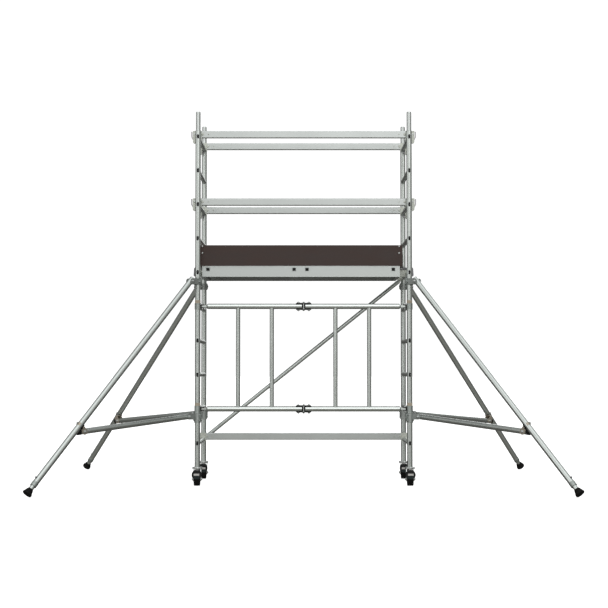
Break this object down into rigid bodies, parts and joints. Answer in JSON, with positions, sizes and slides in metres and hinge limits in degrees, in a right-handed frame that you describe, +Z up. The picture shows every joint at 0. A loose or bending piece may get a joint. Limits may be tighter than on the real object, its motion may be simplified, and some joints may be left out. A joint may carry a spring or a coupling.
{
  "type": "mobile tower scaffold",
  "caption": "Folding-base aluminium access tower with upper frames, trapdoor platform, toe boards, guard rails, diagonal brace, swinging stabilisers and braked castors.",
  "frame": {"origin": "on the floor under the centre of the four posts", "axes": "+X along the platform to the right, +Y across the tower to the rear, +Z up"},
  "size_m": [3.7222, 2.8862, 2.742],
  "materials": {
    "tube_aluminium": "brushed",
    "spigot_aluminium": "satin",
    "rail_aluminium": "satin anodised",
    "cast_aluminium": "cast",
    "cast_zinc": "passivated zinc casting",
    "zinc_steel": "zinc plated",
    "dark_steel": "dull",
    "black_steel": "black coating",
    "black_plastic": "moulded",
    "beige_plastic": "moulded",
    "rubber": "matt",
    "wheel_rubber": "matt",
    "phenolic_ply": "phenolic film, mesh pattern",
    "toe_ply": "phenolic film"
  },
  "bodies": {
    "root": {"base_posts": "tube_aluminium", "upper_posts": "tube_aluminium", "spigots": "spigot_aluminium", "base_rungs": "tube_aluminium", "upper_rungs": "tube_aluminium", "interlock_buttons": "dark_steel", "castor_stems": "zinc_steel", "post_collars": "cast_aluminium", "collar_sleeves": "beige_plastic", "fold_clevises": "black_steel", "fold_rails": "tube_aluminium", "fold_uprights": "tube_aluminium", "mid_hinge_brackets": "black_steel", "fold_bolts": "zinc_steel", "guard_and_knee_rails": "rail_aluminium", "base_rail": "rail_aluminium", "rail_claws": "cast_zinc", "rail_pawls": "dark_steel", "diagonal_brace": "tube_aluminium", "diagonal_hooks": "cast_zinc", "platform_side_beams": "rail_aluminium", "platform_end_beams": "rail_aluminium", "platform_cross_tubes": "rail_aluminium", "fixed_deck": "phenolic_ply", "platform_claws": "cast_zinc", "hatch_hinge": "zinc_steel", "long_toe_boards": "toe_ply", "end_toe_boards": "toe_ply", "toe_board_brackets": "rail_aluminium"},
    "hatch": {"hatch_panel": "phenolic_ply"},
    "latch_left": {"wind_latch_left": "black_steel"},
    "latch_right": {"wind_latch_right": "black_steel"},
    "fl_stabiliser": {"fl_stabiliser_tubes": "tube_aluminium", "fl_stabiliser_fittings": "cast_zinc"},
    "fl_leg": {"fl_inner_leg": "tube_aluminium", "fl_foot": "rubber"},
    "fl_swivel": {"fl_castor_fork": "zinc_steel"},
    "fl_wheel": {"fl_castor_wheel": "wheel_rubber"},
    "fl_brake": {"fl_castor_pedal": "black_plastic"},
    "fr_stabiliser": {"fr_stabiliser_tubes": "tube_aluminium", "fr_stabiliser_fittings": "cast_zinc"},
    "fr_leg": {"fr_inner_leg": "tube_aluminium", "fr_foot": "rubber"},
    "fr_swivel": {"fr_castor_fork": "zinc_steel"},
    "fr_wheel": {"fr_castor_wheel": "wheel_rubber"},
    "fr_brake": {"fr_castor_pedal": "black_plastic"},
    "rl_stabiliser": {"rl_stabiliser_tubes": "tube_aluminium", "rl_stabiliser_fittings": "cast_zinc"},
    "rl_leg": {"rl_inner_leg": "tube_aluminium", "rl_foot": "rubber"},
    "rl_swivel": {"rl_castor_fork": "zinc_steel"},
    "rl_wheel": {"rl_castor_wheel": "wheel_rubber"},
    "rl_brake": {"rl_castor_pedal": "black_plastic"},
    "rr_stabiliser": {"rr_stabiliser_tubes": "tube_aluminium", "rr_stabiliser_fittings": "cast_zinc"},
    "rr_leg": {"rr_inner_leg": "tube_aluminium", "rr_foot": "rubber"},
    "rr_swivel": {"rr_castor_fork": "zinc_steel"},
    "rr_wheel": {"rr_castor_wheel": "wheel_rubber"},
    "rr_brake": {"rr_castor_pedal": "black_plastic"}
  },
  "joints": [
    {"name": "hatch_open", "type": "hinge", "parent": "root", "child": "hatch", "pos_m": [0.344, 0.238, 1.6173], "axis": [-1, 0, 0], "range_deg": [0, 95]},
    {"name": "latch_left_open", "type": "hinge", "parent": "root", "child": "latch_left", "pos_m": [-0.763, -0.219, 1.594], "axis": [0, 1, 0], "range_deg": [0, 25]},
    {"name": "latch_right_open", "type": "hinge", "parent": "root", "child": "latch_right", "pos_m": [0.724, -0.219, 1.594], "axis": [0, -1, 0], "range_deg": [0, 25]},
    {"name": "fl_stabiliser_swing", "type": "hinge", "parent": "root", "child": "fl_stabiliser", "pos_m": [-0.776, -0.358, 1], "axis": [0, 0, 1], "range_deg": [-45, 45]},
    {"name": "fl_leg_extend", "type": "slide", "parent": "fl_stabiliser", "child": "fl_leg", "axis": [-0.4925, -0.4925, -0.7175], "range_m": [0, 0.25]},
    {"name": "fl_castor_swivel", "type": "hinge", "parent": "root", "child": "fl_swivel", "pos_m": [-0.776, -0.358, 0.13], "axis": [0, 0, 1], "continuous": true},
    {"name": "fl_wheel_spin", "type": "hinge", "parent": "fl_swivel", "child": "fl_wheel", "pos_m": [-0.776, -0.393, 0.05], "axis": [1, 0, 0], "continuous": true},
    {"name": "fl_brake_release", "type": "hinge", "parent": "fl_swivel", "child": "fl_brake", "pos_m": [-0.776, -0.388, 0.108], "axis": [-1, 0, 0], "range_deg": [0, 18]},
    {"name": "fr_stabiliser_swing", "type": "hinge", "parent": "root", "child": "fr_stabiliser", "pos_m": [0.776, -0.358, 1], "axis": [0, 0, 1], "range_deg": [-45, 45]},
    {"name": "fr_leg_extend", "type": "slide", "parent": "fr_stabiliser", "child": "fr_leg", "axis": [0.4925, -0.4925, -0.7175], "range_m": [0, 0.25]},
    {"name": "fr_castor_swivel", "type": "hinge", "parent": "root", "child": "fr_swivel", "pos_m": [0.776, -0.358, 0.13], "axis": [0, 0, 1], "continuous": true},
    {"name": "fr_wheel_spin", "type": "hinge", "parent": "fr_swivel", "child": "fr_wheel", "pos_m": [0.776, -0.393, 0.05], "axis": [1, 0, 0], "continuous": true},
    {"name": "fr_brake_release", "type": "hinge", "parent": "fr_swivel", "child": "fr_brake", "pos_m": [0.776, -0.388, 0.108], "axis": [-1, 0, 0], "range_deg": [0, 18]},
    {"name": "rl_stabiliser_swing", "type": "hinge", "parent": "root", "child": "rl_stabiliser", "pos_m": [-0.776, 0.358, 1], "axis": [0, 0, 1], "range_deg": [-45, 45]},
    {"name": "rl_leg_extend", "type": "slide", "parent": "rl_stabiliser", "child": "rl_leg", "axis": [-0.4925, 0.4925, -0.7175], "range_m": [0, 0.25]},
    {"name": "rl_castor_swivel", "type": "hinge", "parent": "root", "child": "rl_swivel", "pos_m": [-0.776, 0.358, 0.13], "axis": [0, 0, 1], "continuous": true},
    {"name": "rl_wheel_spin", "type": "hinge", "parent": "rl_swivel", "child": "rl_wheel", "pos_m": [-0.776, 0.323, 0.05], "axis": [1, 0, 0], "continuous": true},
    {"name": "rl_brake_release", "type": "hinge", "parent": "rl_swivel", "child": "rl_brake", "pos_m": [-0.776, 0.328, 0.108], "axis": [-1, 0, 0], "range_deg": [0, 18]},
    {"name": "rr_stabiliser_swing", "type": "hinge", "parent": "root", "child": "rr_stabiliser", "pos_m": [0.776, 0.358, 1], "axis": [0, 0, 1], "range_deg": [-45, 45]},
    {"name": "rr_leg_extend", "type": "slide", "parent": "rr_stabiliser", "child": "rr_leg", "axis": [0.4925, 0.4925, -0.7175], "range_m": [0, 0.25]},
    {"name": "rr_castor_swivel", "type": "hinge", "parent": "root", "child": "rr_swivel", "pos_m": [0.776, 0.358, 0.13], "axis": [0, 0, 1], "continuous": true},
    {"name": "rr_wheel_spin", "type": "hinge", "parent": "rr_swivel", "child": "rr_wheel", "pos_m": [0.776, 0.323, 0.05], "axis": [1, 0, 0], "continuous": true},
    {"name": "rr_brake_release", "type": "hinge", "parent": "rr_swivel", "child": "rr_brake", "pos_m": [0.776, 0.328, 0.108], "axis": [-1, 0, 0], "range_deg": [0, 18]}
  ]
}
